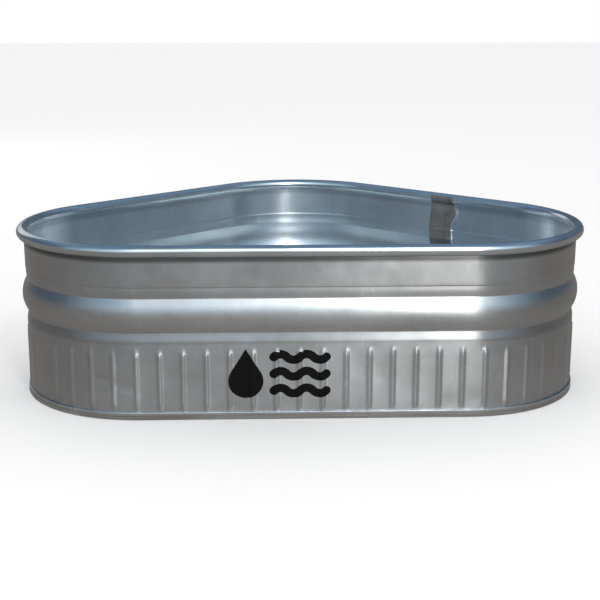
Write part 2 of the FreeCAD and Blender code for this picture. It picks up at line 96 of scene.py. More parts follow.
SEAM_ALONG_LEG = 345 * MM
SEAM_STRIP_WIDTH = 100 * MM
LAP_FROM_SEAM = -45 * MM
LAP_WIDTH = 26 * MM
LAP_RAISE = 0.8 * MM
DRAIN_CLEAR_WIDTH = 80 * MM
DRAIN_HOLE_RADIUS = 29 * MM

# ---------------------------------------------------------------- sizes of the looks

RIB_SLOPE = 0.36
RIB_CREST_ROUNDING = 1.5 * MM
RIB_EDGE_SOFTNESS = 0.4 * MM
RIB_END_STEEPNESS = 3.0
RIB_SKIRT_RISE = 0.4 * MM
RIB_SKIRT_REACH = 9 * MM

# how the relief dies away over the base seam and under the rim roll
SEAM_FADE = 12 * MM
RELIEF_TOP = 568 * MM
RELIEF_TOP_FADE = 10 * MM

# (seed, amplitude, shortest wave) of the sheet's unevenness
SHORT_WAVES = (11, 0.45 * MM, 160 * MM)
LONG_WAVES = (12, 0.35 * MM, 400 * MM)

# (distance along the wall, height, reach along, reach up, depth, slant) of small knocks
DENTS = [
    (-0.69, 0.140, 0.040, 0.009, 3.6 * MM, -0.32),
    (-0.60, 0.112, 0.045, 0.008, 2.8 * MM, -0.28),
    (-0.86, 0.255, 0.050, 0.016, 1.2 * MM, 0.10),
    (0.42, 0.262, 0.020, 0.010, 0.7 * MM, 0.00),
    (0.95, 0.520, 0.060, 0.030, 0.9 * MM, 0.20),
    (-1.30, 0.150, 0.040, 0.020, 1.2 * MM, 0.30),
    (2.35, 0.500, 0.070, 0.030, 1.0 * MM, -0.20),
    (-2.10, 0.370, 0.050, 0.018, 1.0 * MM, 0.15),
]
KNOCKS_LOW = 95 * MM
KNOCKS_HIGH = 160 * MM

STRIP_SLANT = 36 * MM
STRIP_EDGE_WAVE = 50 * MM
# (height, reach up, how far out) of the lobes in the strip's front edge
STRIP_LOBES = [
    (528 * MM, 26 * MM, 16 * MM),
    (465 * MM, 30 * MM, -7 * MM),
]

OUTLINE_STEP = math.radians(9)
ROLL_STEP = math.radians(12)


# ---------------------------------------------------------------- plan of the wall


def wall_segments():
    """The wall's outer face in plan, anticlockwise from the middle of the front."""
    right = np.array([HALF_FRONT, FRONT_Y + CORNER_RADIUS])
    apex = np.array([0.0, BACK_Y - CORNER_RADIUS])
    left = right * [-1, 1]
    facing_right = math.pi / 2 - LEG_ANGLE
    facing_left = math.pi - facing_right
    leg = float(np.linalg.norm(apex - right))
    front_middle = np.array([0.0, FRONT_Y])
    front_left = np.array([-HALF_FRONT, FRONT_Y])
    return [
        ("straight", front_middle, -math.pi / 2, HALF_FRONT),
        ("arc", right, -math.pi / 2, (facing_right + math.pi / 2) * CORNER_RADIUS),
        ("straight", right + CORNER_RADIUS * plan_vector(facing_right), facing_right, leg),
        ("arc", apex, facing_right, (facing_left - facing_right) * CORNER_RADIUS),
        ("straight", apex + CORNER_RADIUS * plan_vector(facing_left), facing_left, leg),
        ("arc", left, facing_left, (1.5 * math.pi - facing_left) * CORNER_RADIUS),
        ("straight", front_left, 1.5 * math.pi, HALF_FRONT),
    ]


def plan_vector(angle):
    """Unit vector in plan at an angle from +X."""
    return np.array([math.cos(angle), math.sin(angle)])


SEGMENTS = wall_segments()
WALL_LENGTH = sum(segment[3] for segment in SEGMENTS)
RIB_PITCH = WALL_LENGTH / RIB_COUNT
SEAM_DISTANCE = SEGMENTS[0][3] + SEGMENTS[1][3] + SEAM_ALONG_LEG
DRAIN_DISTANCE = WALL_LENGTH / 2


def wall_point(distance):
    """(x, y) on the wall's outer face and the outward direction there."""
    remaining = distance % WALL_LENGTH
    for kind, origin, angle, length in SEGMENTS:
        if remaining > length:
            remaining -= length
            continue
        if kind == "straight":
            return origin + plan_vector(angle + math.pi / 2) * remaining, plan_vector(angle)
        outward = plan_vector(angle + remaining / CORNER_RADIUS)
        return origin + outward * CORNER_RADIUS, outward
    return SEGMENTS[0][1], plan_vector(-math.pi / 2)


def shorter_way(gap):
    """A gap between two places along the wall, taken the shorter way round."""
    return (gap + WALL_LENGTH / 2) % WALL_LENGTH - WALL_LENGTH / 2


def rib_distances():
    """Middles of the ribs along the wall, leaving the side seam and the drain clear."""
    keep_out = [(SEAM_DISTANCE, SEAM_STRIP_WIDTH), (DRAIN_DISTANCE, DRAIN_CLEAR_WIDTH)]
    kept = []
    for number in range(RIB_COUNT):
        distance = RIB_START + number * RIB_PITCH
        if all(abs(distance - middle) > (width + RIB_WIDTH) / 2 for middle, width in keep_out):
            kept.append(distance)
    return kept


# ---------------------------------------------------------------- outline of the sheet


def rounded_outline(corners, step):
    """Points of an open outline through (outward, height, turn radius) corners."""
    points = [np.array(corners[0][:2])]
    for index in range(1, len(corners) - 1):
        corner = np.array(corners[index][:2])
        back = unit(np.array(corners[index - 1][:2]) - corner)
        ahead = unit(np.array(corners[index + 1][:2]) - corner)
        half_opening = math.acos(np.clip(back @ ahead, -1, 1)) / 2
        radius = corners[index][2]
        reach = radius / math.tan(half_opening)
        centre = corner + unit(back + ahead) * radius / math.sin(half_opening)
        start = corner + back * reach - centre
        turn = math.pi - 2 * half_opening
        turn_sign = math.copysign(1, back[0] * ahead[1] - back[1] * ahead[0])
        count = max(2, math.ceil(turn / step))
        for number in range(count + 1):
            points.append(centre + rotated(start, -turn_sign * turn * number / count))
    points.append(np.array(corners[-1][:2]))
    return points


def unit(vector):
    """The vector at length one."""
    return vector / np.linalg.norm(vector)


def rotated(vector, angle):
    """A plane vector turned anticlockwise."""
    cosine = math.cos(angle)
    sine = math.sin(angle)
    return np.array([vector[0] * cosine - vector[1] * sine, vector[0] * sine + vector[1] * cosine])


def subdivided(points, gap_at):
    """The same outline with points added so that no gap is longer than gap_at(height)."""
    finer = [points[0]]
    for end in points[1:]:
        start = finer[-1]
        gap = min(gap_at(start[1]), gap_at(end[1]))
        count = max(1, math.ceil(np.linalg.norm(end - start) / gap))
        finer += [start + (end - start) * number / count for number in range(1, count + 1)]
    return finer


def roll_points(end_angle, step):
    """The neck arc under the rim and the roll itself, round to an end angle (0 outward, 90 deg up)."""
    neck_out = WALL_MIDDLE - ROLL_NECK_RADIUS
    reach = ROLL_RADIUS + ROLL_NECK_RADIUS
    neck_height = ROLL_CENTRE_HEIGHT - math.sqrt(reach ** 2 - (ROLL_CENTRE_OUT - neck_out) ** 2)
    neck_centre = np.array([neck_out, neck_height])
    roll_centre = np.array([ROLL_CENTRE_OUT, ROLL_CENTRE_HEIGHT])
    lean = math.atan2(roll_centre[1] - neck_height, roll_centre[0] - neck_out)
    neck_count = 4
    neck = [neck_centre + rotated(np.array([ROLL_NECK_RADIUS, 0]), lean * number / neck_count)
            for number in range(neck_count + 1)]
    start_angle = lean + math.pi
    count = math.ceil((start_angle - end_angle) / step)
    turns = [start_angle + (end_angle - start_angle) * number / count for number in range(1, count + 1)]
    return neck + [roll_centre + rotated(np.array([ROLL_RADIUS, 0]), turn) for turn in turns]


def outline_normals(points):
    """Unit normals on the outward side of an outline drawn from the bottom up."""
    tangents = np.gradient(np.array(points), axis=0)
    normals = np.stack([tangents[:, 1], -tangents[:, 0]], axis=1)
    return normals / np.linalg.norm(normals, axis=1, keepdims=True)


def row_gap(height):
    """Longest gap between rows of the sheet: close where ribs end and where knocks lie, wider elsewhere."""
    rib_end_reach = 20 * MM
    close_gap = 3.5 * MM
    wide_gap = 14 * MM
    near_rib_end = min(abs(height - RIB_BOTTOM), abs(height - RIB_TOP)) < rib_end_reach
    among_knocks = KNOCKS_LOW < height < KNOCKS_HIGH
    return close_gap if near_rib_end or among_knocks else wide_gap


def wall_outline(lower_corners, gap_at):
    """Middle of the sheet from its lower corners up to where the neck under the rim roll begins."""
    neck_start = roll_points(0, ROLL_STEP)[0]
    corners = [*lower_corners, *UPPER_WALL_SHAPE, (*neck_start, 0)]
    return subdivided(rounded_outline(corners, OUTLINE_STEP), gap_at)


def sidewall_outline():
    """Middle of the sidewall's sheet: hook in the base seam, wall, swage beads, rim roll."""
    hook = [
        (HOOK_OUT, HOOK_TOP, 0),
        (HOOK_OUT, HOOK_BOTTOM, HOOK_BEND),
        (WALL_MIDDLE, HOOK_BOTTOM, HOOK_BEND),
    ]
    end_angle = -math.pi / 2 - math.asin((ROLL_CENTRE_OUT - ROLL_END_OUT) / ROLL_RADIUS)
    return wall_outline(hook, row_gap) + roll_points(end_angle, ROLL_STEP)[1:]


def strip_outline():
    """Middle of the sheet behind the sealing strip, from the base seam up over the inside of the roll."""
    gap = 8 * MM
    end_angle = math.radians(140)
    step = math.radians(8)
    foot = [(WALL_MIDDLE, BASE_SEAM_TOP, 0)]
    return wall_outline(foot, lambda height: gap) + roll_points(end_angle, step)[1:]


# ---------------------------------------------------------------- relief of the pressed sheet


def hump(away, reach):
    """A smooth rise, 1 where away is 0, that dies out within about two reaches."""
    return np.exp(-(away / reach) ** 2)


def rib_apart(distances, heights):
    """How far each place on a grid of distances by heights is from the nearest rib's middle line."""
    ribs = np.array(rib_distances())
    nearest = np.abs(shorter_way(distances[:, None] - ribs[None, :])).min(axis=1)
    middle = (RIB_BOTTOM + RIB_TOP) / 2
    half_straight = (RIB_TOP - RIB_BOTTOM - RIB_WIDTH / RIB_END_STEEPNESS) / 2
    beyond = np.maximum(0, np.abs(heights - middle) - half_straight) * RIB_END_STEEPNESS
    return np.hypot(nearest[:, None], beyond[None, :])


def rib_relief(distances, heights):
    """How far the pressed ribs stand out, on a grid of distances along the wall by heights."""
    apart = rib_apart(distances, heights)
    rise = RIB_RISE - (np.hypot(apart, RIB_CREST_ROUNDING) - RIB_CREST_ROUNDING) * RIB_SLOPE
    softened = rise - RIB_EDGE_SOFTNESS / 2
    return (softened + np.sqrt(softened ** 2 + RIB_EDGE_SOFTNESS ** 2)) / 2


def rib_skirts(distances, heights):
    """The shallow swell of the sheet round each rib, dying away from the rib's foot."""
    beyond = np.maximum(0, rib_apart(distances, heights) - RIB_WIDTH / 2)
    return RIB_SKIRT_RISE * np.exp(-beyond / RIB_SKIRT_REACH)


def waviness(distances, heights, seed, amplitude, shortest):
    """Gentle unevenness of thin sheet, closed round the tank: a sum of smooth waves."""
    wave_count = 26
    length_spread = 4
    tilt_spread = 5
    phase_up = 3
    random = np.random.default_rng(seed)
    total = np.zeros((len(distances), len(heights)))
    for _ in range(wave_count):
        length = shortest * (1 + length_spread * random.random())
        turns = max(1, round(WALL_LENGTH / length))
        tilt = random.normal() * tilt_spread
        phase = random.random() * TAU
        wave = np.sin(TAU * turns * distances / WALL_LENGTH + phase)[:, None]
        total += wave * np.cos(tilt * heights * TAU + phase * phase_up)[None, :]
    return total * amplitude / math.sqrt(wave_count)


def dents(distances, heights):
    """Small knocks in the sheet, each a soft slanted hollow."""
    total = np.zeros((len(distances), len(heights)))
    for distance, height, along_reach, up_reach, depth, slant in DENTS:
        along = shorter_way(distances - distance)[:, None]
        up = heights[None, :] - height - slant * along
        total -= depth * hump(along, along_reach) * hump(up, up_reach)
    return total


def away_from_emblem(distances, heights):
    """0 at the printed emblem, where the sheet keeps the frame's exact shape, rising to 1 away from it."""
    low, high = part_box("emblem_print")
    exact_margin = 6 * MM
    fade = 60 * MM
    along = shorter_way(distances)
    beside = np.maximum(low.x - along, along - high.x)[:, None]
    above = np.maximum(low.z - heights, heights - high.z)[None, :]
    share = np.clip((np.maximum(beside, above) - exact_margin) / fade, 0, 1)
    return share * share * (3 - 2 * share)


def lap_relief(distances):
    """The raised band where the sheet's ends lap, on the outer face."""
    edge_run = 1.2 * MM
    away = np.abs(distances - SEAM_DISTANCE - LAP_FROM_SEAM)
    return LAP_RAISE * np.clip((LAP_WIDTH / 2 - away) / edge_run + 0.5, 0, 1)


def lap_ridge(distances, heights):
    """The hammered bare edge of the inner sheet, just clear of the sealing strip, on the inner face."""
    ridge_height = 4.5 * MM
    ridge_reach = 4 * MM
    clear_of_strip = 3.5 * MM
    middle = SEAM_DISTANCE + strip_front_edge(heights) - clear_of_strip
    return ridge_height * hump(distances[:, None] - middle[None, :], ridge_reach)


def sidewall_reliefs(distances, heights):
    """How far out the sheet's outer and inner faces stand from its plain shape, on a grid of places."""
    above_seam = np.clip((heights - BASE_SEAM_TOP) / SEAM_FADE, 0, 1)
    in_hook = np.arange(len(heights)) < np.argmin(heights)
    above_seam[in_hook] = 0
    free_wall = above_seam * np.clip((RELIEF_TOP - heights) / RELIEF_TOP_FADE, 0, 1)
    clear_of_emblem = away_from_emblem(distances, heights)
    relief = rib_relief(distances, heights) * (above_seam > 0)
    relief += waviness(distances, heights, *SHORT_WAVES) * free_wall * clear_of_emblem
    relief += waviness(distances, heights, *LONG_WAVES) * above_seam * clear_of_emblem
    relief += dents(distances, heights) * free_wall
    relief += rib_skirts(distances, heights) * free_wall * clear_of_emblem
    lap = lap_relief(distances)[:, None] * above_seam
    ridge = lap_ridge(distances, heights) * free_wall
    return relief + lap, relief - ridge


# ---------------------------------------------------------------- the sealing strip's shape


def wavering(values, seed, amplitude):
    """A wandering edge's sideways shift at each value."""
    wave_count = 5
    weight_step = 1 / 8
    random = np.random.default_rng(seed)
    total = np.zeros(len(values))
    for level in range(wave_count):
        length = STRIP_EDGE_WAVE * 2 ** level
        total += np.sin(TAU * values / length + random.random() * TAU) * (level + 1) * weight_step
    return total * amplitude


def strip_lean(heights):
    """How far the strip's middle runs from the seam at each height."""
    return STRIP_SLANT * (0.5 - heights / TANK_HEIGHT)


def strip_front_edge(heights):
    """Where the strip's front edge runs at each height, from the seam."""
    edge = strip_lean(heights) - SEAM_STRIP_WIDTH / 2 + wavering(heights, seed=3, amplitude=1.6 * MM)
    for height, reach, out in STRIP_LOBES:
        edge -= out * hump(heights - height, reach)
    return edge


def strip_back_edge(heights):
    """Where the strip's back edge runs at each height, from the seam."""
    return strip_lean(heights) + SEAM_STRIP_WIDTH / 2 + wavering(heights, seed=4, amplitude=4 * MM)


def strip_thickness(across, along, heights):
    """How thick the coat lies: thin at its sides and top end, lumpy, heaped in a crease under the rim."""
    edge_thickness = 0.25 * MM
    crown_thickness = 1.2 * MM
    crown_squareness = 6
    end_share = 0.03
    lump_size = 0.12 * MM
    crease_middle = 541 * MM
    crease_slope = 12 * MM
    crease_reach = 8 * MM
    crease_rise = 4 * MM
    crown = np.sqrt(np.clip(1 - np.abs(across) ** crown_squareness, 0, 1))
    end_taper = np.sqrt(np.clip((1 - along) / end_share, 0, 1))
    random = np.random.default_rng(seed=5)
    lumps = random.normal(size=(len(across), len(along))) * lump_size
    thickness = (edge_thickness + crown_thickness * crown)[:, None] * end_taper + lumps * crown[:, None]
    crease_height = crease_middle - crease_slope * across
    crease = hump(heights[None, :] - crease_height[:, None], crease_reach)
    towards_front = crown * (1 - across) / 2
    return thickness + crease_rise * crease * towards_front[:, None]


def strip_side(outline, places, lifts):
    """Grid of points on one side of the strip, lifted towards the inside from the sheet's middle."""
    normals = outline_normals(outline)
    grid = []
    for row_places, row_lifts in zip(places, lifts):
        row = []
        for point, normal, place, lift in zip(outline, normals, row_places, row_lifts):
            base, outward = wall_point(SEAM_DISTANCE + place)
            depth, height = point - normal * lift
            row.append([*(base + outward * depth), height])
        grid.append(row)
    return np.array(grid)


# ---------------------------------------------------------------- mesh building


def column_distances():
    """Places along the wall for the sheet's columns: close across each rib and the lap, wider between."""
    half_rib = [offset * MM for offset in (1.5, 4, 8, 11, 12.5, 14, 16.5)]
    parts_between = 4
    gap = RIB_PITCH - 2 * half_rib[-1]
    between = [half_rib[-1] + gap * part / parts_between for part in range(1, parts_between)]
    offsets = [-offset for offset in half_rib] + [0] + half_rib + between
    places = [RIB_START + number * RIB_PITCH + offset for number in range(RIB_COUNT) for offset in offsets]
    lap_reach = 42 * MM
    lap_step = 1.5 * MM
    lap_middle = SEAM_DISTANCE + LAP_FROM_SEAM
    places = [place for place in places if abs(place - lap_middle) > lap_reach + lap_step]
    places += list(np.arange(lap_middle - lap_reach, lap_middle + lap_reach, lap_step))
    return np.array(sorted(places))


def sheet_surface(distances, outline, offset, relief):
    """Grid of points on one side of a sheet that follows the wall, with its place on the sheet."""
    line = np.array(outline)
    normals = outline_normals(outline)
    along_line = np.concatenate([[0], np.cumsum(np.linalg.norm(np.diff(line, axis=0), axis=1))])
    bases = np.array([wall_point(distance)[0] for distance in distances])
    outwards = np.array([wall_point(distance)[1] for distance in distances])
    depth = line[:, 0] + normals[:, 0] * offset + relief
    height = np.broadcast_to(line[:, 1] + normals[:, 1] * offset, depth.shape)
    plan = bases[:, None, :] + outwards[:, None, :] * depth[:, :, None]
    grid = np.concatenate([plan, height[:, :, None]], axis=2)
    uv = np.stack(np.broadcast_arrays(distances[:, None], along_line[None, :]), axis=2)
    return grid, uv


def up_and_back(first, second):
    """One grid that runs up one side of a sheet and back down the other."""
    return np.concatenate([first, second[:, ::-1]], axis=1)


def grid_object(name, grid, uv, close_rows):
    """A smooth mesh object from an (n, m, 3) grid of points, closed along its second direction.

    uv is an (n, m, 2) grid of coordinates in metres; close_rows joins the last row to the first too.
    """
    rows, columns = grid.shape[:2]
    row_count = rows if close_rows else rows - 1
    row = np.arange(row_count)[:, None]
    column = np.arange(columns)[None, :]
    next_row = (row + 1) % rows
    next_column = (column + 1) % columns
    corners = [
        row * columns + column,
        next_row * columns + column,
        next_row * columns + next_column,
        row * columns + next_column,
    ]
    quads = np.stack(corners, axis=-1).reshape(-1, 4)
    mesh = bpy.data.meshes.new(name)
    mesh.vertices.add(rows * columns)
    mesh.vertices.foreach_set("co", grid.reshape(-1).astype(np.float32))
    mesh.loops.add(quads.size)
    mesh.loops.foreach_set("vertex_index", quads.reshape(-1).astype(np.int32))
    mesh.polygons.add(len(quads))
    mesh.polygons.foreach_set("loop_start", np.arange(0, quads.size, 4, dtype=np.int32))
    mesh.polygons.foreach_set("use_smooth", np.ones(len(quads), dtype=bool))
    layer = mesh.uv_layers.new(name="sheet")
    layer.data.foreach_set("uv", uv.reshape(-1, 2)[quads.reshape(-1)].reshape(-1).astype(np.float32))
    mesh.update(calc_edges=True)
    mesh.validate()
    return placed(name, mesh)


def placed(name, data):
    """A new object in the scene that holds a mesh, a light or a camera."""
    thing = bpy.data.objects.new(name, data)
    bpy.context.scene.collection.objects.link(thing)
    return thing


def cut_drain_hole(piece):
    """Removes the sheet's faces inside the drain's hole."""
    low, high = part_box("drain_nut")
    centre = (low + high) / 2
    doomed = []
    shape = bmesh.new()
    shape.from_mesh(piece.data)
    for face in shape.faces:
        point = face.calc_center_median()
        apart = math.hypot(point.x - centre.x, point.z - centre.z)
        at_the_back = point.y > BACK_Y / 2
        if at_the_back and apart < DRAIN_HOLE_RADIUS:
            doomed.append(face)
    bmesh.ops.delete(shape, geom=doomed, context="FACES")
    shape.to_mesh(piece.data)
    shape.free()


def close_ends(piece):
    """Fills the open ends of a tube-like mesh."""
    shape = bmesh.new()
    shape.from_mesh(piece.data)
    bmesh.ops.holes_fill(shape, edges=[edge for edge in shape.edges if edge.is_boundary], sides=0)
    bmesh.ops.recalc_face_normals(shape, faces=shape.faces)
    shape.to_mesh(piece.data)
    shape.free()


def make_sidewall():
    """The sidewall's sheet with soft-edged ribs, gentle waviness, a few knocks and the side lap."""
    outline = sidewall_outline()
    distances = column_distances()
    outer_relief, inner_relief = sidewall_reliefs(distances, np.array(outline)[:, 1])
    outer, outer_uv = sheet_surface(distances, outline, HALF_SHEET, outer_relief)
    inner, inner_uv = sheet_surface(distances, outline, -HALF_SHEET, inner_relief)
    grid = up_and_back(outer, inner)
    piece = grid_object("sidewall_sheet", grid, up_and_back(outer_uv, inner_uv), close_rows=True)
    on_inside = np.arange(grid.shape[1]) >= len(outline)
    piece.data.polygons.foreach_set("material_index", np.tile(on_inside, grid.shape[0]).astype(np.int32))
    cut_drain_hole(piece)
    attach(piece, "tank")
    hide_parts("sidewall")
    # the outer face carries strong painted shade under its roll; the inner face, painted brighter and bluer
    # for the sky it mirrors, carries little
    piece.data.materials.append(galvanised("galvanised sheet", "sheet", OUTER_ZINC, neck_shade=0.8))
    piece.data.materials.append(galvanised("galvanised inside", "sheet", INNER_SKY_LIT_ZINC, neck_shade=0.25))


def make_seam_strip():
    """The hand-laid sealing strip inside the side seam, from the bottom up over the rim roll."""
    strip_columns = 25
    clear = HALF_SHEET + 0.1 * MM
    outline = strip_outline()
    heights = np.array(outline)[:, 1]
    along = np.linspace(0, 1, len(outline))
    across = np.linspace(-1, 1, strip_columns)
    front_edge = strip_front_edge(heights)
    back_edge = strip_back_edge(heights)
    places = front_edge + (back_edge - front_edge) * (across[:, None] + 1) / 2
    thickness = strip_thickness(across, along, heights)
    inside = strip_side(outline, places, clear + thickness)
    against_wall = strip_side(outline, places, np.full_like(thickness, clear))
    uv = np.stack(np.broadcast_arrays(places, along[None, :]), axis=2)
    grid = up_and_back(inside, against_wall)
    piece = grid_object("seam_sealing_strip", grid, up_and_back(uv, uv), close_rows=False)
    close_ends(piece)
    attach(piece, "tank")
    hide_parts("side_seam_strip")
    piece.data.materials.append(dull_coating())


# ---------------------------------------------------------------- shader nodes

WHOLE = (0.0, 1.0)
FALLING = (1.0, 0.0)


class Nodes:
    """Short ways to add and join shader nodes in one node tree."""

    def __init__(self, tree):
        self.tree = tree

    def add(self, kind, **values):
        """A new node with its properties set."""
        node = self.tree.nodes.new(kind)
        for key, value in values.items():
            setattr(node, key, value)
        return node

    def join(self, source, target):
        """Links an output socket to an input socket."""
        self.tree.links.new(source, target)

    def feed(self, value, target):
        """Gives an input socket a number, an (r, g, b) or another node's output."""
        if isinstance(value, (int, float)):
            target.default_value = value
        elif isinstance(value, tuple):
            target.default_value = (*value, 1.0)
        else:
            self.join(value, target)

    def place(self, space):
        """Coordinates in metres: object space, or a named map of the sheet."""
        if space == "object":
            return self.add("ShaderNodeTexCoord").outputs["Object"]
        return self.add("ShaderNodeUVMap", uv_map=space).outputs["UV"]

    def part(self, vector, axis):
        """One of a vector's parts: X, Y or Z."""
        node = self.add("ShaderNodeSeparateXYZ")
        self.join(vector, node.inputs["Vector"])
        return node.outputs[axis]

    def stretched(self, coordinates, scale, shift=(0.0, 0.0, 0.0)):
        """Coordinates scaled along each axis, then shifted."""
        mapping = self.add("ShaderNodeMapping")
        mapping.inputs["Location"].default_value = shift
        mapping.inputs["Scale"].default_value = scale
        self.join(coordinates, mapping.inputs["Vector"])
        return mapping.outputs["Vector"]

    def noise(self, coordinates, scale, detail=4.0, roughness=0.55):
        """Fractal noise from 0 to 1, of scale lumps to the metre, or (x, y, z) lumps along each axis."""
        if isinstance(scale, tuple):
            coordinates = self.stretched(coordinates, scale)
            scale = 1.0
        node = self.add("ShaderNodeTexNoise")
        node.inputs["Scale"].default_value = scale
        node.inputs["Detail"].default_value = detail
        node.inputs["Roughness"].default_value = roughness
        self.join(coordinates, node.inputs["Vector"])
        return node.outputs["Fac"]

    def cells(self, coordinates, scale):
        """Voronoi cells, scale of them to the metre, each with its own value from 0 to 1."""
        node = self.add("ShaderNodeTexVoronoi")
        node.inputs["Scale"].default_value = scale
        self.join(coordinates, node.inputs["Vector"])
        parts = self.add("ShaderNodeSeparateColor")
        self.join(node.outputs["Color"], parts.inputs["Color"])
        return parts.outputs["Red"]

    def ramp(self, value, start_end, low_high=WHOLE):
        """A value taken from the range start to end to the range low to high, held at the ends."""
        node = self.add("ShaderNodeMapRange")
        names = ("From Min", "From Max", "To Min", "To Max")
        for name, limit in zip(names, (*start_end, *low_high)):
            node.inputs[name].default_value = limit
        self.join(value, node.inputs["Value"])
        return node.outputs["Result"]

    def math(self, operation, first, second=0.0):
        """Arithmetic on one or two values; each may be a number."""
        node = self.add("ShaderNodeMath", operation=operation)
        self.feed(first, node.inputs[0])
        self.feed(second, node.inputs[1])
        return node.outputs["Value"]

    def times(self, first, second):
        """The product of two values."""
        return self.math("MULTIPLY", first, second)

    def plus(self, first, second):
        """The sum of two values."""
        return self.math("ADD", first, second)

    def mix(self, factor, first, second):
        """A blend of two colours, each an output or an (r, g, b)."""
        node = self.add("ShaderNodeMix", data_type="RGBA")
        colour_sockets = [socket for socket in node.inputs if socket.type == "RGBA"]
        self.feed(factor, node.inputs["Factor"])
        self.feed(first, colour_sockets[0])
        self.feed(second, colour_sockets[1])
        return [socket for socket in node.outputs if socket.type == "RGBA"][0]

    def bump(self, height, distance, under=None):
        """A normal disturbed by a height in the range 0 to 1, over another normal if given."""
        node = self.add("ShaderNodeBump")
        node.inputs["Distance"].default_value = distance
        self.join(height, node.inputs["Height"])
        if under is not None:
            self.join(under, node.inputs["Normal"])
        return node.outputs["Normal"]

    def by_ray(self, kind, for_others, for_kind):
        """One shader for rays of a kind and another for all other rays."""
        node = self.add("ShaderNodeMixShader")
        self.join(self.add("ShaderNodeLightPath").outputs[kind], node.inputs["Fac"])
        self.join(for_others, node.inputs[1])
        self.join(for_kind, node.inputs[2])
        return node.outputs["Shader"]


class Finish(Nodes):
    """The nodes of one material, round a Principled shader."""

    def __init__(self, name):
        self.material = bpy.data.materials.new(name)
        self.material.use_nodes = True
        super().__init__(self.material.node_tree)
        self.shader = self.tree.nodes["Principled BSDF"]

    def finish(self, metallic, colour, roughness, normal=None):
        """Joins the shader's inputs and gives the material."""
        self.feed(metallic, self.shader.inputs["Metallic"])
        self.feed(colour, self.shader.inputs["Base Color"])
        self.feed(roughness, self.shader.inputs["Roughness"])
        if normal is not None:
            self.join(normal, self.shader.inputs["Normal"])
        return self.material

    def brush(self, coordinates_name, strength):
        """Stretches reflections across the rolling direction, which runs along the map's first axis."""
        quarter_turn = 0.25
        tangent = self.add("ShaderNodeTangent", direction_type="UV_MAP", uv_map=coordinates_name)
        self.join(tangent.outputs["Tangent"], self.shader.inputs["Tangent"])
        self.join(strength, self.shader.inputs["Anisotropic"])
        self.shader.inputs["Anisotropic Rotation"].default_value = quarter_turn


def shade(colour, factor):
    """A colour made darker or lighter."""
    return tuple(part * factor for part in colour)


def grey(value):
    """A neutral colour."""
    return (value, value, value)


# ---------------------------------------------------------------- materials

OUTER_ZINC = (0.60, 0.61, 0.62)
# the inner face's zinc, painted brighter and bluer than the outer's: a painted reflection of the sky that
# the inside mirrors
INNER_SKY_LIT_ZINC = (0.78, 0.84, 0.87)
BOTTOM_ZINC = (0.70, 0.75, 0.78)

GROUND_DIRT = (0.24, 0.22, 0.20)
GROUND_DIRT_TOP = 70 * MM
SEAM_DIRT = (0.42, 0.39, 0.36)
SEAM_DIRT_TOP = 21 * MM
# painted shade: the dark colour laid under the rim roll and over the roll's lower half, standing in for the
# roll's shadow and the dark ground it mirrors
NECK_SHADE = grey(0.10)
# (start, end) in height of each edge of a band of painted shade: the shadow under the swage bead, and the
# shade under the rim roll and on its lower half
FILLET_SHADOW_BAND = ((262 * MM, 272 * MM), (301 * MM, 306 * MM))
NECK_SHADE_BAND = ((ROLL_BOTTOM - 25 * MM, ROLL_BOTTOM - 13 * MM), (ROLL_BOTTOM, ROLL_BOTTOM + 22 * MM))

ZINC_ROUGHNESS = (0.29, 0.33)
PATCH_ROUGHNESS = 0.03
DIRT_ROUGHNESS = 0.12
WALL_BRUSHING = 0.72
# the rim roll is smoother than the wall and isn't brushed; the change lies in the dark neck
ROLL_CHANGE = (ROLL_BOTTOM - 2 * MM, ROLL_BOTTOM + 4 * MM)
ROLL_ROUGHNESS_SHARE = 0.73


def galvanised(name, space, colour, neck_shade):
    """Zinc-coated sheet: satin, faintly spangled, softly clouded, with dirt low down and in the base seam,
    painted shadow under the swage bead and painted shade under the roll.
    """
    n = Finish(name)
    place = n.place("object")
    height = n.part(place, "Z")
    clouds = n.noise(place, 4.0, detail=3.0)
    patches = n.noise(place, 22.0, detail=3.0, roughness=0.6)
    ground_dirt = n.times(n.ramp(height, (0.0, GROUND_DIRT_TOP), FALLING), n.ramp(patches, (0.4, 0.65)))
    below_roll = n.ramp(height, ROLL_CHANGE, FALLING)

    # (where each lies, its strength there, its colour): dirt low down and in the base seam, then painted
    # shadow under the swage bead and painted shade under the rim roll
    dirt_and_shade = [
        (ground_dirt, 0.4, GROUND_DIRT),
        (seam_dirt(n, height, place), 1.0, SEAM_DIRT),
        # painted shadow of the swage bead: the sheet's own colour darkened on the band below it
        (level_band(n, height, FILLET_SHADOW_BAND), 0.4, shade(colour, 0.55)),
        # painted shade under the rim roll and on the roll's lower half
        (level_band(n, height, NECK_SHADE_BAND), neck_shade, NECK_SHADE),
    ]
    tone = zinc_tone(n, n.place(space), place, clouds, patches, colour)
    for where, strength, dirt_and_shade_colour in dirt_and_shade:
        tone = n.mix(n.times(where, strength), tone, dirt_and_shade_colour)

    rough = n.ramp(clouds, (0.3, 0.7), ZINC_ROUGHNESS)
    rough = n.plus(rough, n.ramp(patches, (0.3, 0.7), (0.0, PATCH_ROUGHNESS)))
    rough = n.plus(rough, n.times(ground_dirt, DIRT_ROUGHNESS))
    rough = n.times(rough, n.ramp(below_roll, WHOLE, (ROLL_ROUGHNESS_SHARE, 1.0)))
    if space != "object":
        n.brush(space, n.times(below_roll, WALL_BRUSHING))
    return n.finish(1.0, tone, rough, n.bump(n.noise(place, 9.0, detail=1.0), 1.0 * MM))


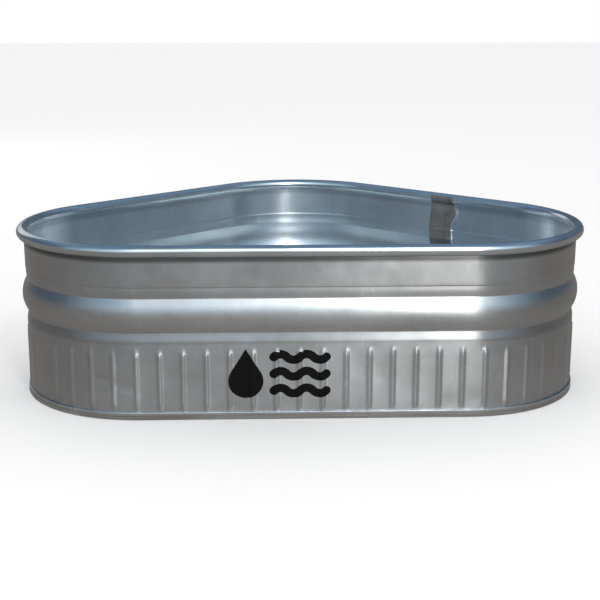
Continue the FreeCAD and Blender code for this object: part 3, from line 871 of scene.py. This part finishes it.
def zinc_tone(n, sheet, place, clouds, patches, colour):
    """The colour of the clean zinc: clouds, and over them patches, spangle, streaks, runs and scuffs."""
    spangle = n.cells(place, 55.0)
    streaks = n.noise(sheet, (1.5, 120.0, 1.0), detail=2.0)
    runs = n.noise(sheet, (45.0, 1.5, 1.0), detail=2.0)
    scratches = n.noise(sheet, (60.0, 22.0, 1.0), roughness=0.65)
    scuffs = n.times(n.ramp(scratches, (0.58, 0.70), (0.0, 0.8)), n.ramp(clouds, (0.45, 0.65), (0.2, 1.0)))
    specks = n.noise(sheet, 210.0, detail=1.0)
    tone = n.mix(n.ramp(clouds, (0.35, 0.65)), shade(colour, 0.92), shade(colour, 1.06))
    # (pattern, where it starts and where it is full, its strength there, its shade of the colour)
    layers = [
        (patches, (0.40, 0.70), 0.20, 1.15),
        (spangle, WHOLE, 0.10, 1.20),
        (streaks, (0.35, 0.70), 0.07, 0.66),
        (runs, (0.45, 0.75), 0.08, 1.24),
        (scuffs, WHOLE, 1.00, 1.32),
        (specks, (0.74, 0.82), 0.55, 0.45),
    ]
    for pattern, start_full, strength, factor in layers:
        tone = n.mix(n.ramp(pattern, start_full, (0.0, strength)), tone, shade(colour, factor))
    return tone


def level_band(n, height, band):
    """1 inside a level band and 0 outside it, with soft edges."""
    lower_edge, upper_edge = band
    return n.times(n.ramp(height, lower_edge), n.ramp(height, upper_edge, FALLING))


def seam_dirt(n, height, place):
    """How much brown dirt lies on the upright faces of the base seam, in fine level streaks."""
    facing_up = n.math("ABSOLUTE", n.part(n.add("ShaderNodeNewGeometry").outputs["Normal"], "Z"))
    upright = n.ramp(facing_up, (0.2, 0.7), FALLING)
    in_seam = n.ramp(height, (SEAM_DIRT_TOP - 3 * MM, SEAM_DIRT_TOP), FALLING)
    lines = n.noise(place, (3.0, 3.0, 260.0), detail=2.0)
    return n.times(n.times(upright, in_seam), n.ramp(lines, (0.4, 0.6), (0.20, 0.90)))


def dull_coating():
    """Grey sealing coat: matt, uneven, lightly smeared."""
    n = Finish("dull sealing coat")
    dark = (0.105, 0.112, 0.115)
    pale = (0.175, 0.180, 0.180)
    smeared = (0.21, 0.21, 0.205)
    place = n.place("object")
    smears = n.noise(place, (30.0, 30.0, 6.0))
    clouds = n.noise(place, 14.0)
    tone = n.mix(n.ramp(clouds, (0.35, 0.65)), dark, pale)
    tone = n.mix(n.ramp(smears, (0.45, 0.7), (0.0, 0.4)), tone, smeared)
    rough = n.ramp(smears, WHOLE, (0.55, 0.75))
    return n.finish(0.0, tone, rough, n.bump(n.noise(place, 60.0), 0.8 * MM))


def printed_ink():
    """Black printing ink on metal, slightly worn."""
    n = Finish("printed ink")
    sheen = 0.15
    ink = grey(0.004)
    worn_ink = (0.016, 0.015, 0.014)
    wear = n.noise(n.place("object"), 90.0, detail=5.0)
    tone = n.mix(n.ramp(wear, (0.5, 0.75), (0.0, 0.25)), ink, worn_ink)
    rough = n.ramp(wear, (0.3, 0.7), (0.42, 0.62))
    n.feed(sheen, n.shader.inputs["Specular IOR Level"])
    return n.finish(0.0, tone, rough, n.bump(wear, 0.05 * MM))


def rubber(name, tone_value):
    """Moulded black rubber with a dusty bloom."""
    n = Finish(name)
    clean = grey(tone_value)
    dusty = shade(clean, 2.2)
    bloom = n.noise(n.place("object"), 120.0)
    tone = n.mix(n.ramp(bloom, (0.4, 0.7)), clean, dusty)
    rough = n.ramp(bloom, WHOLE, (0.6, 0.8))
    return n.finish(0.0, tone, rough, n.bump(bloom, 0.1 * MM))


def brass(name):
    """Cast and machined brass, browned where it is handled least."""
    n = Finish(name)
    bright = (0.62, 0.46, 0.20)
    browned = (0.30, 0.20, 0.10)
    place = n.place("object")
    tarnish = n.noise(place, 60.0, detail=5.0)
    turning = n.noise(place, (40.0, 900.0, 40.0), detail=2.0)
    tone = n.mix(n.ramp(tarnish, (0.35, 0.7)), bright, browned)
    rough = n.ramp(tarnish, (0.3, 0.7), (0.26, 0.5))
    rough = n.plus(rough, n.ramp(turning, WHOLE, (-0.04, 0.06)))
    cast = n.bump(n.noise(place, 220.0), 0.10 * MM)
    return n.finish(1.0, tone, rough, n.bump(turning, 0.02 * MM, under=cast))


def sealant_compound():
    """Pliable grey seam sealant."""
    n = Finish("seam sealant")
    dark = grey(0.12)
    pale = (0.22, 0.22, 0.21)
    clouds = n.noise(n.place("object"), 40.0)
    tone = n.mix(clouds, dark, pale)
    rough = n.ramp(clouds, WHOLE, (0.5, 0.7))
    return n.finish(0.0, tone, rough, n.bump(clouds, 0.2 * MM))


def dress_frame_nodes():
    """Gives each CAD node that stays visible its material."""
    plain_sheet = galvanised("galvanised bottom", "object", BOTTOM_ZINC, neck_shade=0.0)
    fitting = brass("drain brass")
    finishes = {
        "bottom_pan": plain_sheet,
        "rim_tube": plain_sheet,
        "base_seam_sealant": sealant_compound(),
        "emblem_print": printed_ink(),
        "drain_body": fitting,
        "drain_nut": fitting,
        "drain_plug": brass("plug brass"),
        "drain_inner_gasket": rubber("gasket rubber", 0.020),
        "drain_outer_gasket": rubber("outer gasket rubber", 0.022),
        "plug_washer": rubber("washer rubber", 0.018),
    }
    for name, material in finishes.items():
        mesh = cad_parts[name].data
        mesh.materials.clear()
        mesh.materials.append(material)


# ---------------------------------------------------------------- stage, light, camera

WARM_WHITE = (1.0, 0.98, 0.95)
KEY_AZIMUTH = math.radians(10.5)
KEY_ELEVATION = math.radians(40)
LIGHT_DISTANCE = 7.0
# (name, azimuth, elevation, width, height, power); azimuth 0 is in front of the tank, positive to the right
LIGHTS = [
    ("key", KEY_AZIMUTH, KEY_ELEVATION, 1.0, 1.0, 52),
    ("column", math.radians(12.5), math.radians(12), 0.5, 3.4, 44),
    ("back", math.radians(214), math.radians(20), 4.2, 3.4, 21),
]

# the sky that metal mirrors, as (height, colour) stops from 0 straight down to 1 straight up
ZENITH = (0.10, 0.18, 0.28)
FRONT_SKY = [
    (0.00, (0.22, 0.20, 0.18)),
    (0.53, (0.26, 0.24, 0.22)),
    (0.58, (0.54, 0.72, 0.84)),
    (0.75, (0.72, 0.95, 1.12)),
    (0.89, (0.34, 0.49, 0.64)),
    (1.00, ZENITH),
]
BACK_SKY = [
    (0.00, (0.22, 0.20, 0.18)),
    (0.51, (0.20, 0.19, 0.18)),
    (0.54, (0.07, 0.10, 0.14)),
    (0.75, (0.06, 0.10, 0.155)),
    (0.88, (0.14, 0.22, 0.32)),
    (1.00, ZENITH),
]
FRONT_SKY_EDGE = (-0.98, -0.15)
HAZE_FOCUS = 24.0
HAZE_STRENGTH = 1.6

# the ground that metal mirrors: its own colour, and (centre, reach, colour) of the pools of light on it
GROUND_COLOUR = (0.205, 0.190, 0.175)
GROUND_POOLS = [
    ((0.25, FRONT_Y - 0.7), 2.2, (0.35, 0.345, 0.34)),
    ((-0.6, 1.9), 1.7, grey(0.50)),
]


def make_floor():
    """A plain pale floor. The metal sees darker ground, with soft pools of light in front and behind."""
    half_width = 20.0
    clear_of_tank = 0.5 * MM
    mesh = bpy.data.meshes.new("floor")
    corners = [(x * half_width, y * half_width, 0) for x, y in ((-1, -1), (1, -1), (1, 1), (-1, 1))]
    mesh.from_pydata(corners, [], [(0, 1, 2, 3)])
    floor = placed("floor", mesh)
    floor.location.z = -clear_of_tank
    n = Finish("floor")
    mesh.materials.append(n.finish(0.0, grey(0.95), 0.9))
    place = n.place("object")
    tone = GROUND_COLOUR
    for centre, reach, colour in GROUND_POOLS:
        tone = n.mix(pool(n, place, centre, reach), tone, colour)
    mirrored = n.add("ShaderNodeEmission")
    n.join(tone, mirrored.inputs["Color"])
    surface = n.by_ray("Is Camera Ray", mirrored.outputs["Emission"], n.shader.outputs["BSDF"])
    n.join(surface, n.tree.nodes["Material Output"].inputs["Surface"])


def pool(n, place, centre, reach):
    """A soft round patch on the floor, 1 in the middle and 0 beyond its reach."""
    shift = (-centre[0] / reach, -centre[1] / reach, 0)
    gradient = n.add("ShaderNodeTexGradient", gradient_type="QUADRATIC_SPHERE")
    n.join(n.stretched(place, (1 / reach, 1 / reach, 1), shift), gradient.inputs["Vector"])
    return gradient.outputs["Fac"]


def sky_ramp(n, height, stops):
    """A colour that changes with height, which runs from -1 straight down to 1 straight up."""
    ramp = n.add("ShaderNodeValToRGB")
    n.join(n.ramp(height, (-1.0, 1.0)), ramp.inputs["Fac"])
    elements = ramp.color_ramp.elements
    while len(elements) < len(stops):
        elements.new(position=0.5)
    for element, (position, colour) in zip(elements, stops):
        element.position = position
        element.color = (*colour, 1.0)
    return ramp.outputs["Color"]


def make_world():
    """Pale to the eye and to soft light; polished metal sees a dusky sky, brighter in front, instead."""
    world = bpy.data.worlds.new("studio")
    world.use_nodes = True
    bpy.context.scene.world = world
    n = Nodes(world.node_tree)
    n.tree.nodes.clear()
    place = n.add("ShaderNodeTexCoord").outputs["Generated"]
    height = n.part(place, "Z")
    towards_front = n.ramp(n.part(place, "Y"), FRONT_SKY_EDGE, FALLING)
    sky = n.mix(towards_front, sky_ramp(n, height, BACK_SKY), sky_ramp(n, height, FRONT_SKY))
    seen = n.add("ShaderNodeBackground")
    n.feed(grey(1.0), seen.inputs["Color"])
    mirrored = n.add("ShaderNodeBackground")
    n.join(sky, mirrored.inputs["Color"])
    both = n.add("ShaderNodeAddShader")
    n.join(mirrored.outputs["Background"], both.inputs[0])
    n.join(key_haze(n, place), both.inputs[1])
    surface = n.by_ray("Is Glossy Ray", seen.outputs["Background"], both.outputs["Shader"])
    n.join(surface, n.add("ShaderNodeOutputWorld").inputs["Surface"])


def key_haze(n, place):
    """The glow of the sky round the key light."""
    facing = n.add("ShaderNodeVectorMath", operation="DOT_PRODUCT")
    n.join(place, facing.inputs[0])
    facing.inputs[1].default_value = light_direction(KEY_AZIMUTH, KEY_ELEVATION)
    haze = n.math("POWER", n.math("MAXIMUM", facing.outputs["Value"]), HAZE_FOCUS)
    glare = n.add("ShaderNodeBackground")
    n.feed(WARM_WHITE, glare.inputs["Color"])
    n.join(n.times(haze, HAZE_STRENGTH), glare.inputs["Strength"])
    return glare.outputs["Background"]


def light_direction(azimuth, elevation):
    """Unit vector from the tank towards a light."""
    return Vector((
        math.sin(azimuth) * math.cos(elevation),
        -math.cos(azimuth) * math.cos(elevation),
        math.sin(elevation),
    ))


def make_area_light(name, azimuth, elevation, width, height, power):
    """A soft light of a given width and height, aimed at the tank's middle."""
    light = bpy.data.lights.new(name, "AREA")
    light.shape = "ELLIPSE"
    light.size = width
    light.size_y = height
    light.energy = power
    light.color = WARM_WHITE
    lamp = placed(name, light)
    direction = light_direction(azimuth, elevation)
    aim = Vector((0, 0, TANK_HEIGHT / 2))
    lamp.location = aim + direction * LIGHT_DISTANCE
    lamp.rotation_euler = direction.to_track_quat("Z", "Y").to_euler()


def make_camera():
    """Standing height in front of the long wall, a little left of its middle."""
    focal_length_mm = 80.35
    sensor_width_mm = 36.0
    eye_height = 1.539
    standing_back = 4.362
    to_the_left = 0.155
    pitch = 0.2511
    yaw = 0.0316
    camera = bpy.data.cameras.new("camera")
    camera.lens = focal_length_mm
    camera.sensor_width = sensor_width_mm
    holder = placed("camera", camera)
    holder.location = (-to_the_left, FRONT_Y - standing_back, eye_height)
    holder.rotation_euler = (math.pi / 2 - pitch, 0.0, -yaw)
    bpy.context.scene.camera = holder


make_sidewall()
make_seam_strip()
dress_frame_nodes()
make_floor()
make_world()
for light_values in LIGHTS:
    make_area_light(*light_values)
make_camera()
bpy.context.scene.view_settings.view_transform = "Standard"
